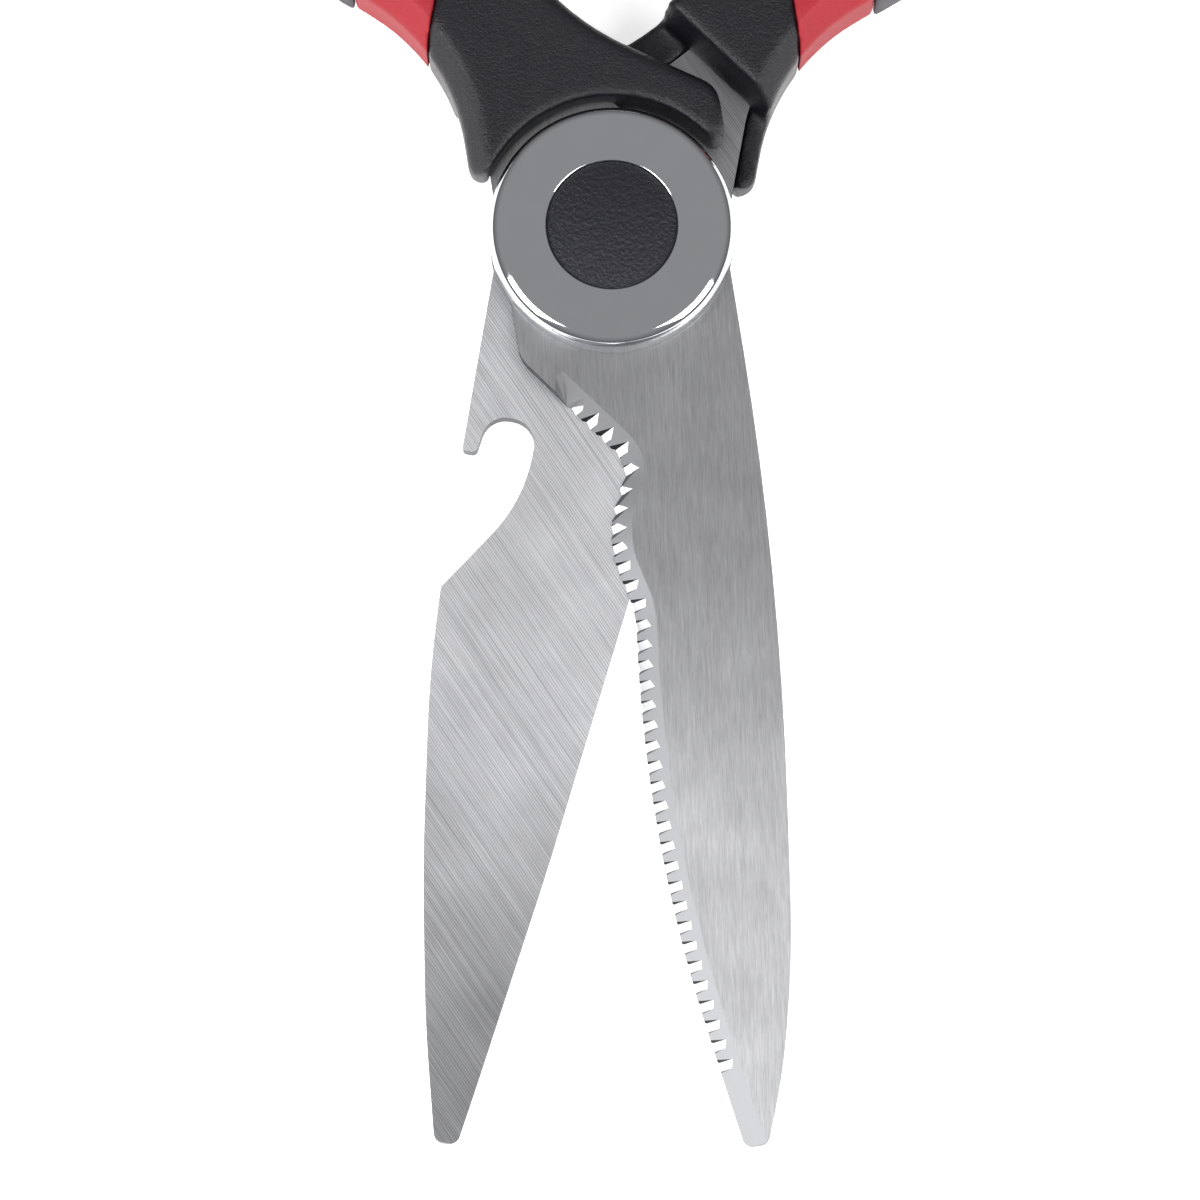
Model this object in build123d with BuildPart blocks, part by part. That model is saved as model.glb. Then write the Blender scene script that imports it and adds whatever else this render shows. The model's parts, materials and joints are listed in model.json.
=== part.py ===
from build123d import *
from math import cos, radians, sin, tan
import os

# Multi-purpose kitchen shears: two pressed steel blades on one bolted pivot, each moulded into a
# three-colour plastic handle. The shears lie flat on a table, opened as in the photograph.
# Origin: on the pivot axis, at the level of the table. +Z up, blades towards -Y, loops towards +Y.
# The serrated blade and its handle are the front half, and the half below it is the rear half.
# Each half is drawn in a frame of its own, on its inner face: x to the blade's back, y from the
# tip to the loop, z outward from the other half. The two handles are one form, turned over.

os.makedirs("parts", exist_ok=True)

# Driving sizes, in millimetres and degrees
blade_length = 110.0
blade_back = 13.3
blade_thickness = 2.5
blade_gap = 0.1
tang_length = 40.0
handle_length = 112.0
handle_reach = 47.5
handle_thickness = 14.0
open_angle = 19.08

# Clearances shared by several pieces
overrun = 1.0
lap_clearance = 0.15
running_clearance = 0.04
fit_clearance = 0.05
closed_gap = 1.3
tolerance = 0.02
run_share = 0.96

# The two halves' own frames
mid_height = handle_thickness / 2
lean = radians(open_angle / 2)
front_half = Plane(
    origin=(0, 0, mid_height), x_dir=(cos(lean), sin(lean), 0), z_dir=(0, 0, 1)
)
rear_half = Plane(
    origin=(0, 0, mid_height), x_dir=(-cos(lean), sin(lean), 0), z_dir=(0, 0, -1)
)
blade_inner = blade_gap / 2
blade_outer = blade_thickness


def outline(corners, plane_scale, radius_scale):
    """Corner points and radii of an outline, from rows of shares."""
    points = [Vector(x * plane_scale[0], y * plane_scale[1]) for x, y, _ in corners]
    radii = [r * radius_scale for _, _, r in corners]
    return points, radii


def corner_arc(before, corner, after, radius):
    """Start, middle, end and centre of the arc that rounds one corner."""
    back = (before - corner).normalized()
    ahead = (after - corner).normalized()
    half_angle = radians(back.get_angle(ahead)) / 2
    inward = (back + ahead).normalized()
    centre = corner + inward * (radius / sin(half_angle))
    reach = radius / tan(half_angle)
    return corner + back * reach, centre - inward * radius, corner + ahead * reach, centre


def fitted_radii(points, radii):
    """The radii of a closed outline, drawn in where a run is too short for its two arcs."""
    corners = range(len(points))
    after = [points[(i + 1) % len(points)] for i in corners]
    arcs = [corner_arc(points[i - 1], points[i], after[i], radii[i]) for i in corners]
    reaches = [(arcs[i][0] - points[i]).length for i in corners]
    fits = []
    for i in corners:
        run = (after[i] - points[i]).length * run_share
        needed = reaches[i] + reaches[(i + 1) % len(points)]
        fits.append(min(1, run / needed))
    return [radii[i] * min(fits[i - 1], fits[i]) for i in corners]


def rounded_line(points, radii, closed=True):
    """Straight runs joined by tangent arcs, drawn into the open line builder."""
    inner = range(len(points)) if closed else range(1, len(points) - 1)
    arcs = [
        corner_arc(points[i - 1], points[i], points[(i + 1) % len(points)], radii[i])
        for i in inner
    ]
    places = [tuple(place) for arc in arcs for place in arc[:3]]
    if not closed:
        Line(tuple(points[0]), places[0])
    for i in range(0, len(places), 3):
        ThreePointArc(*places[i : i + 3])
        if places[i + 3 :]:
            Line(places[i + 2], places[i + 3])
    Line(places[-1], places[0] if closed else tuple(points[-1]))


def local_middle(edge, half):
    """Where an edge's middle lies in a half's own frame."""
    return half.to_local_coords(edge.position_at(0.5))


def turned(half, x, y, z):
    """A direction of a half's own frame, in the frame of the whole part."""
    return half.from_local_coords(Vector(x, y, z)) - half.origin


# Blade outlines: x in shares of blade_back, y and radius in shares of blade_length.
# The serrated edge runs down a slanted heel into a hollow for stalks and bones, then over a
# small hump and a shallow dip into one long belly.
serrated_edge_shares = (
    (-0.985, -0.121, 0.036),
    (-0.171, -0.252, 0.033),
    (-0.498, -0.3255, 0.127),
    (-0.318, -0.413, 0.090),
    (-0.541, -0.664, 1.600),
)
plain_edge_shares = (
    (-0.992, -0.116, 0.030),
    (-0.453, -0.695, 1.600),
    (-0.190, -0.930, 0.450),
)
tip_shares = (
    (-0.107, -1.0, 0.011),
    (0.098, -1.0, 0.011),
)
plain_back_shares = (
    (0.321, -0.927, 0.640),
    (0.561, -0.811, 1.200),
    (1.000, -0.395, 3.900),
)
# The bottle opener is a hook and a round-topped mouth in the back of the rear blade.
opener_back_shares = (
    (0.365, -0.877, 1.600),
    (0.639, -0.712, 2.200),
    (0.891, -0.509, 1.300),
    (0.936, -0.412, 0.0085),
    (0.345, -0.303, 0.170),
    (0.345, -0.216, 0.028),
    (0.793, -0.216, 0.026),
    (0.846, -0.260, 0.006),
    (0.974, -0.260, 0.004),
)
# The boss under the pivot and the tang: y and radius in shares of tang_length.
tang_shares = (
    (1.000, 0.0925, 0.300),
    (-0.632, 0.710, 0.250),
    (-1.068, 1.000, 0.075),
    (-1.594, 1.000, 0.075),
    (-1.000, 0.475, 0.300),
)
tang_hole_shares = ((-0.92, 0.66, 0.055), (-1.24, 0.86, 0.043))

# Ground edge and its serration
bevel_width = 2.4
edge_land = 0.35
bevel_start_share = 0.42
groove_pitch = 2.42
groove_bottom = 1.0
groove_reach = 1.55
groove_bite = 0.15
groove_count = 35
groove_lean_first = 20.0
groove_lean_last = 3.0
groove_lean_share = 0.30

# Pivot, front side: a shouldered bolt keyed into the front blade, under a plated bezel
shank_radius = 4.0
shank_flat = 3.3
bush_wall = 1.5
recess_gap = 1.4
bezel_radius = 14.6
bezel_height = 4.7
bezel_wall = 1.2
bezel_chamfer = 0.6
bezel_hole_chamfer = 0.3
insert_radius = 7.75
insert_sink = 0.1
insert_chamfer = 0.2
insert_flange = 0.8
carrier_floor = 0.7
bolt_head_radius = 9.2
bolt_head_chamfer = 0.4
key_across = 5.0
key_depth = 1.2

# Pivot, rear side: washer, disc spring and nut, in a carrier under a plain plated cap
washer_radius = 8.5
washer_thickness = 0.6
spring_thickness = 0.3
spring_height = 0.7
thread_radius = 3.4
thread_chamfer = 0.4
nut_flange = 0.5
nut_across = 11.0
nut_height = 2.0
cap_clearance = 0.2
cap_floor = 0.9
well_clearance = 0.3
cap_chamfer = 0.6

# Handle sizes
tab_wall = 2.4
nose_wall = 1.9
foot_height = 8.8
shoulder_height = 24.9
lap_angle = 56.3
lap_distance = 21.1
lap_step = 2.1
wall_draft = 11.0
grip_proud = 0.35
soft_skin = 1.8
facet_width = 2.5
facet_depth = 2.8
nose_chamfer = 0.8
sleeve_lap = 2.6
band_chamfer = 1.3
grip_chamfer = 2.5
foot_radius = 1.5
nose_radius = 3.2
nose_tip_radius = 1.3
shoulder_radius = 25.0
lap_radius = 30.0
jaw_radius = 14.0
crown_radius = 12.0
loop_inner_radius = 20.0
loop_outer_radius = 22.0
loop_flank_radius = 45.0

# Places on the handle: x in shares of handle_reach, y in shares of handle_length
lap_corner_share = 0.03
jaw_shares = (-0.288, 0.3875)
crown_share = 0.589
flank_share = 0.470
seam_shares = ((-0.419, 0.174), (-0.3495, 0.274), (-0.181, 0.4286))
band_shares = ((-0.084, 0.457), (-0.474, 0.535), (-0.575, 0.535), (-0.539, 0.25), (-0.539, 0.174))
finger_hole_shares = (
    (-0.821, 0.509, 0.379),
    (-0.821, 0.924, 0.305),
    (-0.194, 0.924, 0.274),
    (-0.194, 0.634, 0.337),
    (-0.516, 0.424, 0.137),
)

core_half = mid_height - grip_proud
recess_radius = bezel_radius + recess_gap


edge_slope = (blade_outer - blade_inner - edge_land) / bevel_width
groove_low = blade_inner - groove_bite
groove_high = blade_inner + edge_land + groove_reach * edge_slope


def blade_corners(edge_shares, back_shares):
    """Corners and radii of one blade, from the heel round the tip and up to the tang."""
    rows = edge_shares + tip_shares + back_shares
    blade = outline(rows, (blade_back, blade_length), blade_length)
    tang = outline(tang_shares, (blade_back, tang_length), tang_length)
    points = blade[0] + tang[0]
    return points, fitted_radii(points, blade[1] + tang[1])


def edge_corners(corners, count, start_share):
    """The open line of the ground edge: part of a blade's outline, run on past its tip."""
    points = corners[0][: count + 1]
    first = points[0] + (points[1] - points[0]) * start_share
    last = points[count] + (points[count] - points[count - 1]).normalized() * bevel_width
    return [first] + points[1:count] + [last], corners[1][: count + 1]


def bevel_section():
    """The metal ground off the edge, seen along it: x into the blade, y outward."""
    low = blade_inner + edge_land
    Polygon(
        (-overrun, low - overrun * edge_slope),
        (bevel_width + overrun, blade_outer + overrun * edge_slope),
        (-overrun, blade_outer + overrun * edge_slope),
        align=None,
    )


def cut_tang_holes():
    """The holes that lock the moulded plastic to the tang."""
    for x, y, r in tang_hole_shares:
        with Locations((x * blade_back, y * tang_length)):
            Circle(r * tang_length, mode=Mode.SUBTRACT)


def section_plane(path, half):
    """The plane across the start of a line on a half: x into the piece, y outward."""
    wire = path.wire()
    ahead = wire.tangent_at(0)
    return Plane(origin=wire.position_at(0), x_dir=half.z_dir.cross(ahead), z_dir=ahead)


def groove_section():
    """One groove, seen along it: a flat bottom between two flanks at 45 degrees."""
    depth = blade_thickness
    Polygon(
        (-groove_bottom / 2, 0),
        (groove_bottom / 2, 0),
        (groove_bottom / 2 + depth, depth),
        (-groove_bottom / 2 - depth, depth),
        align=None,
    )


def groove_plane(edge_wire, number):
    """The plane of one groove's section, on the edge, looking into the blade."""
    along = (number + 0.5) * groove_pitch
    point = edge_wire.position_at(along, position_mode=PositionMode.LENGTH)
    share = min(1.0, number / (groove_count * groove_lean_share))
    angle = radians(groove_lean_first + (groove_lean_last - groove_lean_first) * share)
    rise = groove_high - groove_low
    x, y = cos(angle), sin(angle)
    return Plane(
        origin=front_half.from_local_coords(Vector(point.X, point.Y, groove_low)),
        x_dir=turned(front_half, -y, x, 0),
        z_dir=turned(front_half, groove_reach * x, groove_reach * y, rise),
    )


def keyed_section():
    """The bolt's shank where it is keyed to the front blade: a circle with two flats."""
    Circle(shank_radius)
    Rectangle(2 * shank_flat, 2 * shank_radius, mode=Mode.INTERSECT)


# Serrated front blade
front_corners = blade_corners(serrated_edge_shares, plain_back_shares)
front_edge_corners = edge_corners(front_corners, len(serrated_edge_shares), bevel_start_share)
with BuildLine() as front_edge:
    rounded_line(*front_edge_corners, closed=False)
with BuildPart() as front_blade:
    with BuildSketch(front_half.offset(blade_inner)):
        with BuildLine():
            rounded_line(*front_corners)
        make_face()
        cut_tang_holes()
    extrude(amount=blade_outer - blade_inner)
    with BuildSketch(front_half):
        keyed_section()
    extrude(amount=blade_outer + overrun, mode=Mode.SUBTRACT)
    with BuildLine(front_half) as front_path:
        rounded_line(*front_edge_corners, closed=False)
    with BuildSketch(section_plane(front_path, front_half)):
        bevel_section()
    sweep(path=front_path.wire(), mode=Mode.SUBTRACT)
    with BuildSketch(*[groove_plane(front_edge.wire(), n) for n in range(groove_count)]):
        groove_section()
    extrude(amount=bevel_width + overrun, both=True, mode=Mode.SUBTRACT)
front_blade.part.label = "front_blade"
export_step(front_blade.part, "parts/front_blade.step")

# Rear blade with the bottle opener
rear_corners = blade_corners(plain_edge_shares, opener_back_shares)
rear_edge_corners = edge_corners(rear_corners, len(plain_edge_shares), bevel_start_share)
bush_radius = shank_radius + running_clearance + bush_wall
with BuildPart() as rear_blade:
    with BuildSketch(rear_half.offset(blade_inner)):
        with BuildLine():
            rounded_line(*rear_corners)
        make_face()
        cut_tang_holes()
        Circle(bush_radius, mode=Mode.SUBTRACT)
    extrude(amount=blade_outer - blade_inner)
    with BuildLine(rear_half) as rear_path:
        rounded_line(*rear_edge_corners, closed=False)
    with BuildSketch(section_plane(rear_path, rear_half)):
        bevel_section()
    sweep(path=rear_path.wire(), mode=Mode.SUBTRACT)
rear_blade.part.label = "rear_blade"
export_step(rear_blade.part, "parts/rear_blade.step")

# Plans shared by the pieces of both handles
lap = radians(lap_angle)
nose_reach = blade_back + nose_wall
shoulder_reach = blade_back + tab_wall


def lap_height(x):
    """Height of the nose's straight top edge over a place on the half's x axis."""
    return (lap_distance - x * cos(lap)) / sin(lap)


def on_handle(x_share, y_share):
    return Vector(x_share * handle_reach, y_share * handle_length)


handle_points = [
    Vector(nose_reach, foot_height),
    Vector(nose_reach, lap_height(nose_reach)),
    Vector(lap_corner_share * handle_reach, lap_height(lap_corner_share * handle_reach)),
    on_handle(*jaw_shares),
    Vector(-closed_gap / 2, crown_share * handle_length),
    Vector(-closed_gap / 2, handle_length),
    Vector(-handle_reach, handle_length),
    Vector(-handle_reach, flank_share * handle_length),
    Vector(-shoulder_reach, shoulder_height),
    Vector(-shoulder_reach, foot_height),
]
corner_radii = [
    nose_tip_radius,
    nose_radius,
    lap_radius,
    jaw_radius,
    crown_radius,
    loop_inner_radius,
    loop_outer_radius,
    loop_flank_radius,
    shoulder_radius,
    foot_radius,
]
handle_radii = fitted_radii(handle_points, corner_radii)
hole_points, hole_radii = outline(finger_hole_shares, (handle_reach, handle_length), handle_reach)
seam_points = [on_handle(*place) for place in seam_shares]
band_points = [on_handle(*place) for place in band_shares]

with BuildSketch() as handle_plan:
    with BuildLine():
        rounded_line(handle_points, handle_radii)
    make_face()
    with BuildLine():
        rounded_line(hole_points, fitted_radii(hole_points, hole_radii))
    make_face(mode=Mode.SUBTRACT)

# The neck is all on the pivot's side of the seam, and the band lies between neck and grip
foot_side = -shoulder_reach - sleeve_lap - overrun
with BuildSketch() as neck_zone:
    with BuildLine():
        ThreePointArc(*seam_points)
        Polyline(
            seam_points[-1],
            band_points[0],
            (nose_reach + overrun, band_points[0].Y),
            (nose_reach + overrun, -overrun),
            (foot_side, -overrun),
            (foot_side, seam_points[0].Y),
            seam_points[0],
        )
    make_face()
with BuildSketch() as band_zone:
    with BuildLine():
        ThreePointArc(*seam_points)
        Polyline(seam_points[-1], *band_points, seam_points[0])
    make_face()

with BuildSketch() as neck_plan:
    add(handle_plan.sketch)
    add(neck_zone.sketch, mode=Mode.INTERSECT)
    Circle(recess_radius, mode=Mode.SUBTRACT)
with BuildSketch() as grip_plan:
    add(handle_plan.sketch)
    offset(amount=grip_proud)


def loop_side(plan):
    """A plan without the nose, cut a little on the pivot's side of the seam."""
    with BuildSketch() as loop:
        add(plan.sketch)
        with Locations((sleeve_lap, -sleeve_lap)):
            add(neck_zone.sketch, mode=Mode.SUBTRACT)
    return loop.sketch


with BuildSketch() as skeleton_plan:
    add(handle_plan.sketch)
    offset(amount=-soft_skin)
    add(neck_zone.sketch, mode=Mode.SUBTRACT)


def step_plane(half):
    """The drafted wall that the other handle's nose closes on."""
    across = Vector(-cos(lap), sin(lap)) * (lap_distance + lap_step)
    draft = radians(wall_draft)
    return Plane(
        origin=half.from_local_coords(Vector(across.X, across.Y, lap_clearance)),
        x_dir=turned(half, sin(lap), cos(lap), 0),
        z_dir=turned(half, -cos(lap) * cos(draft), sin(lap) * cos(draft), sin(draft)),
    )


facet_line = [
    corner_arc(*handle_points[6:9], handle_radii[7])[2],
    handle_points[8],
    handle_points[9] - Vector(0, overrun),
]


def outer_facets(half):
    """What the facets take off the two edges of the handle's outer side."""
    with BuildLine(half) as path:
        rounded_line(facet_line, [0, handle_radii[8], 0], closed=False)
    with BuildSketch(section_plane(path, half)) as sections:
        for side in (1, -1):
            top = side * core_half
            low = top - side * facet_depth
            above = top + side * overrun
            Polygon(
                (facet_width, top),
                (0, low),
                (-overrun, low),
                (-overrun, above),
                (facet_width, above),
                align=None,
            )
    with BuildPart() as cutter:
        sweep(sections.sketch, path=path.wire())
    return cutter.part


def rim_edges(piece, half, plan, level):
    """The edges of a piece at one height over its inner face that follow a plan's outline."""
    chosen = ShapeList()
    outlines = plan.sketch.wires()
    for edge in piece.edges():
        place = local_middle(edge, half)
        spot = Vector(place.X, place.Y)
        if abs(place.Z - level) < tolerance:
            if min(wire.distance_to(spot) for wire in outlines) < tolerance:
                chosen.append(edge)
    return chosen


def handle_core(half, blade):
    """The hard plastic moulded round one tang: neck, nose and the skeleton of the loop."""
    with BuildPart() as core:
        with BuildSketch(half.offset(-core_half)):
            add(neck_plan.sketch)
        extrude(amount=core_half + lap_clearance)
        split(bisect_by=step_plane(half), keep=Keep.TOP)
        with BuildSketch(half.offset(lap_clearance)):
            add(neck_plan.sketch)
        extrude(amount=core_half - lap_clearance)
        add(outer_facets(half), mode=Mode.SUBTRACT)
        for level in (core_half, -core_half):
            chamfer(rim_edges(core, half, handle_plan, level), nose_chamfer)
        with BuildSketch(half.offset(soft_skin - core_half)):
            add(skeleton_plan.sketch)
        extrude(amount=2 * (core_half - soft_skin))
        add(blade, mode=Mode.SUBTRACT)
    return core.part


def soft_band(half, blade, core):
    """The red band that wraps the lower end of the finger loop."""
    with BuildPart() as band:
        with BuildSketch(half.offset(-core_half)):
            add(loop_side(handle_plan))
        extrude(amount=2 * core_half)
        for level in (core_half, -core_half):
            chamfer(rim_edges(band, half, handle_plan, level), band_chamfer)
        with BuildSketch(half.offset(-core_half)):
            add(band_zone.sketch)
        extrude(amount=2 * core_half, mode=Mode.INTERSECT)
        add([outer_facets(half), core, blade], mode=Mode.SUBTRACT)
    return band.part


def soft_grip(half, core):
    """The soft sleeve on the rest of the finger loop."""
    with BuildPart() as grip:
        with BuildSketch(half.offset(-mid_height)):
            add(loop_side(grip_plan))
        extrude(amount=handle_thickness)
        for level in (mid_height, -mid_height):
            chamfer(rim_edges(grip, half, grip_plan, level), grip_chamfer)
        with BuildSketch(half.offset(-mid_height)):
            add([neck_zone.sketch, band_zone.sketch])
        extrude(amount=handle_thickness, mode=Mode.SUBTRACT)
        add(core, mode=Mode.SUBTRACT)
    return grip.part


for side, half, blade in (("front", front_half, front_blade), ("rear", rear_half, rear_blade)):
    core = handle_core(half, blade.part)
    band = soft_band(half, blade.part, core)
    grip = soft_grip(half, core)
    for name, piece in (("handle", core), ("band", band), ("grip", grip)):
        piece.label = side + "_" + name
        export_step(piece, "parts/" + side + "_" + name + ".step")

# Heights of the pivot's pieces over the table
front_face = mid_height + blade_outer
rear_face = mid_height - blade_outer
bezel_top = front_face + bezel_height
bezel_roof = bezel_top - bezel_wall
head_base = front_face + carrier_floor
head_top = bezel_roof - insert_flange
nut_seat = rear_face - washer_thickness - spring_height
nut_base = nut_seat - nut_height
cap_rim = rear_face - cap_clearance
carrier_radius = bezel_radius - bezel_wall - fit_clearance
well_radius = washer_radius + well_clearance

# Shouldered bolt: round head with a hex key socket, keyed shank, round bearing and thread
with BuildPart() as pivot_bolt:
    with BuildSketch(Plane.XY.offset(head_base)):
        Circle(bolt_head_radius)
    extrude(amount=head_top - head_base)
    chamfer(pivot_bolt.edges().group_by(Axis.Z)[-1], bolt_head_chamfer)
    with BuildSketch(Plane.XY.offset(head_top)):
        RegularPolygon(key_across / 2, 6, major_radius=False)
    extrude(amount=-key_depth, mode=Mode.SUBTRACT)
    with BuildSketch(front_half.offset(blade_inner)):
        keyed_section()
    extrude(amount=head_base - mid_height - blade_inner)
    with BuildSketch(Plane.XY.offset(nut_seat)):
        Circle(shank_radius)
    extrude(amount=mid_height + blade_inner - nut_seat)
    with BuildSketch(Plane.XY.offset(nut_base)):
        Circle(thread_radius)
    extrude(amount=nut_height)
    chamfer(pivot_bolt.edges().group_by(Axis.Z)[0], thread_chamfer)
pivot_bolt.part.label = "pivot_bolt"
export_step(pivot_bolt.part, "parts/pivot_bolt.step")

# Plastic carrier that fills the bezel round the bolt's head
with BuildPart() as front_carrier:
    with BuildSketch(Plane.XY.offset(front_face)):
        Circle(carrier_radius)
    extrude(amount=bezel_roof - front_face)
    with BuildSketch(Plane.XY.offset(head_base)):
        Circle(bolt_head_radius + fit_clearance)
    extrude(amount=bezel_roof - head_base, mode=Mode.SUBTRACT)
    with BuildSketch(Plane.XY.offset(front_face)):
        Circle(shank_radius + fit_clearance)
    extrude(amount=carrier_floor, mode=Mode.SUBTRACT)
front_carrier.part.label = "front_carrier"
export_step(front_carrier.part, "parts/front_carrier.step")

# Plated bezel: a drawn ring with softened shoulders
with BuildPart() as chrome_bezel:
    with BuildSketch(Plane.XY.offset(front_face)):
        Circle(bezel_radius)
    extrude(amount=bezel_height)
    chamfer(chrome_bezel.edges().group_by(Axis.Z)[-1], bezel_chamfer)
    with BuildSketch(Plane.XY.offset(front_face)):
        Circle(bezel_radius - bezel_wall)
    extrude(amount=bezel_height - bezel_wall, mode=Mode.SUBTRACT)
    with BuildSketch(Plane.XY.offset(bezel_roof)):
        Circle(insert_radius + fit_clearance)
    extrude(amount=bezel_wall, mode=Mode.SUBTRACT)
    rim = chrome_bezel.edges().group_by(Axis.Z)[-1].sort_by(SortBy.RADIUS)[0]
    chamfer(rim, bezel_hole_chamfer)
chrome_bezel.part.label = "chrome_bezel"
export_step(chrome_bezel.part, "parts/chrome_bezel.step")

# Moulded insert under the bezel's hole, held by its flange
with BuildPart() as centre_insert:
    with BuildSketch(Plane.XY.offset(head_top)):
        Circle(bolt_head_radius)
    extrude(amount=insert_flange)
    with BuildSketch(Plane.XY.offset(bezel_roof)):
        Circle(insert_radius)
    extrude(amount=bezel_wall - insert_sink)
    chamfer(centre_insert.edges().group_by(Axis.Z)[-1], insert_chamfer)
centre_insert.part.label = "centre_insert"
export_step(centre_insert.part, "parts/centre_insert.step")

# Bearing bush pressed into the rear blade
with BuildPart() as pivot_bush:
    with BuildSketch(Plane.XY.offset(rear_face)):
        Circle(bush_radius)
        Circle(shank_radius + running_clearance, mode=Mode.SUBTRACT)
    extrude(amount=blade_outer - blade_inner)
pivot_bush.part.label = "pivot_bush"
export_step(pivot_bush.part, "parts/pivot_bush.step")

# Thrust washer on the rear blade
with BuildPart() as thrust_washer:
    with BuildSketch(Plane.XY.offset(rear_face)):
        Circle(washer_radius)
        Circle(shank_radius + fit_clearance, mode=Mode.SUBTRACT)
    extrude(amount=-washer_thickness)
thrust_washer.part.label = "thrust_washer"
export_step(thrust_washer.part, "parts/thrust_washer.step")

# Disc spring: a shallow cone between washer and nut that keeps the blades together
spring_low = nut_seat
spring_high = nut_seat + spring_height - running_clearance
with BuildPart() as disc_spring:
    with BuildSketch(Plane.XZ):
        Polygon(
            (shank_radius + fit_clearance, spring_low),
            (washer_radius, spring_high - spring_thickness),
            (washer_radius, spring_high),
            (shank_radius + fit_clearance, spring_low + spring_thickness),
            align=None,
        )
    revolve(axis=Axis.Z)
disc_spring.part.label = "disc_spring"
export_step(disc_spring.part, "parts/disc_spring.step")

# Flanged hex nut
with BuildPart() as pivot_nut:
    with BuildSketch(Plane.XY.offset(nut_base)):
        RegularPolygon(nut_across / 2, 6, major_radius=False)
    extrude(amount=nut_height)
    with BuildSketch(Plane.XY.offset(nut_seat)):
        Circle(washer_radius)
    extrude(amount=-nut_flange)
    with BuildSketch(Plane.XY.offset(nut_base)):
        Circle(thread_radius)
    extrude(amount=nut_height, mode=Mode.SUBTRACT)
pivot_nut.part.label = "pivot_nut"
export_step(pivot_nut.part, "parts/pivot_nut.step")

# Plastic carrier that holds the nut in the rear cap
with BuildPart() as rear_carrier:
    with BuildSketch(Plane.XY.offset(cap_floor)):
        Circle(carrier_radius)
    extrude(amount=cap_rim - well_clearance - cap_floor)
    with BuildSketch(Plane.XY.offset(cap_floor)):
        RegularPolygon(nut_across / 2 + fit_clearance, 6, major_radius=False)
    extrude(amount=nut_seat - nut_flange - cap_floor, mode=Mode.SUBTRACT)
    with BuildSketch(Plane.XY.offset(nut_seat - nut_flange)):
        Circle(well_radius)
    extrude(amount=rear_face - nut_seat + nut_flange, mode=Mode.SUBTRACT)
rear_carrier.part.label = "rear_carrier"
export_step(rear_carrier.part, "parts/rear_carrier.step")

# Plain plated cap, which the shears rest on
with BuildPart() as rear_cap:
    with BuildSketch():
        Circle(bezel_radius)
    extrude(amount=cap_rim)
    chamfer(rear_cap.edges().group_by(Axis.Z)[0], cap_chamfer)
    with BuildSketch(Plane.XY.offset(cap_floor)):
        Circle(bezel_radius - bezel_wall)
    extrude(amount=cap_rim - cap_floor, mode=Mode.SUBTRACT)
rear_cap.part.label = "rear_cap"
export_step(rear_cap.part, "parts/rear_cap.step")
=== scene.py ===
# %% [markdown]
# # Kitchen shears
# A pair of multi-purpose kitchen shears lies open on a pale table. The solids come in as a fixed
# frame, already at their real place and size, and this script dresses them: finishes for every
# surface, rounder edges, a turned ring, a grained insert, light and camera.

# %% Load the frame
import bmesh
import bpy
import json
from math import cos, pi, radians, sin
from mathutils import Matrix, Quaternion, Vector

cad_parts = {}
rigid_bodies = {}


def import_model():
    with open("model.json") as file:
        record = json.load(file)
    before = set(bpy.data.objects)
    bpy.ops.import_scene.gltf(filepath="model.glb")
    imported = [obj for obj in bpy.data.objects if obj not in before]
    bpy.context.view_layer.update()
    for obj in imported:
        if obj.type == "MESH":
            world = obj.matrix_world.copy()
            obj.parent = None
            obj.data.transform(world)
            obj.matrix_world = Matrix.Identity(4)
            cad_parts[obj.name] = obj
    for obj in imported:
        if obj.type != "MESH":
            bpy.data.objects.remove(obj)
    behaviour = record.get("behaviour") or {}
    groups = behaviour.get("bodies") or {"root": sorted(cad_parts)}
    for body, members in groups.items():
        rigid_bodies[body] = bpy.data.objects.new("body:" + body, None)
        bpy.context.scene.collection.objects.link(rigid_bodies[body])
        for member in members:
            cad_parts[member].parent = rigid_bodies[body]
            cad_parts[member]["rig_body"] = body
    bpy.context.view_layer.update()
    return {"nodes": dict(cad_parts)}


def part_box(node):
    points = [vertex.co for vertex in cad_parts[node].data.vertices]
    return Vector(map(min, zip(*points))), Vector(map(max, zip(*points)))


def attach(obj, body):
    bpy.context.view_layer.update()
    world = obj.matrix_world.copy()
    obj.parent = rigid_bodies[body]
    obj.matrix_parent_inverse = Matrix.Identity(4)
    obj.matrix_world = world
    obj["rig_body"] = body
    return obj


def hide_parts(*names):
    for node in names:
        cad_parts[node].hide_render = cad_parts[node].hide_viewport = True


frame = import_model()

mm = 0.001
print("nodes:", sorted(frame["nodes"]))

# %% [markdown]
# ## Camera
# The picture was taken with a long lens, nearly from above. Its place was solved from the outlines
# of the two handles, which are one form turned over. A camera could be aimed by a constraint, but
# a place, a target and a small roll are plainer to read and stay the same in every render.

# %% Camera
camera_place = Vector((-0.884, -162.411, 699.845)) * mm
camera_target = Vector((-0.884, -43.980, 7.0)) * mm
camera_roll = radians(0.671)
sensor_width = 36.0
focal_pixels = 5930.0
picture_pixels = 1200.0

camera_data = bpy.data.cameras.new("camera")
camera_data.sensor_width = sensor_width
camera_data.lens = focal_pixels / picture_pixels * sensor_width
camera_data.clip_end = 20.0
camera = bpy.data.objects.new("camera", camera_data)
bpy.context.scene.collection.objects.link(camera)
aim = (camera_target - camera_place).to_track_quat("-Z", "Y")
camera.rotation_mode = "QUATERNION"
camera.rotation_quaternion = aim @ Quaternion((0, 0, 1), camera_roll)
camera.location = camera_place
bpy.context.scene.camera = camera
print("lens", round(camera_data.lens, 1), "mm")

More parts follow.
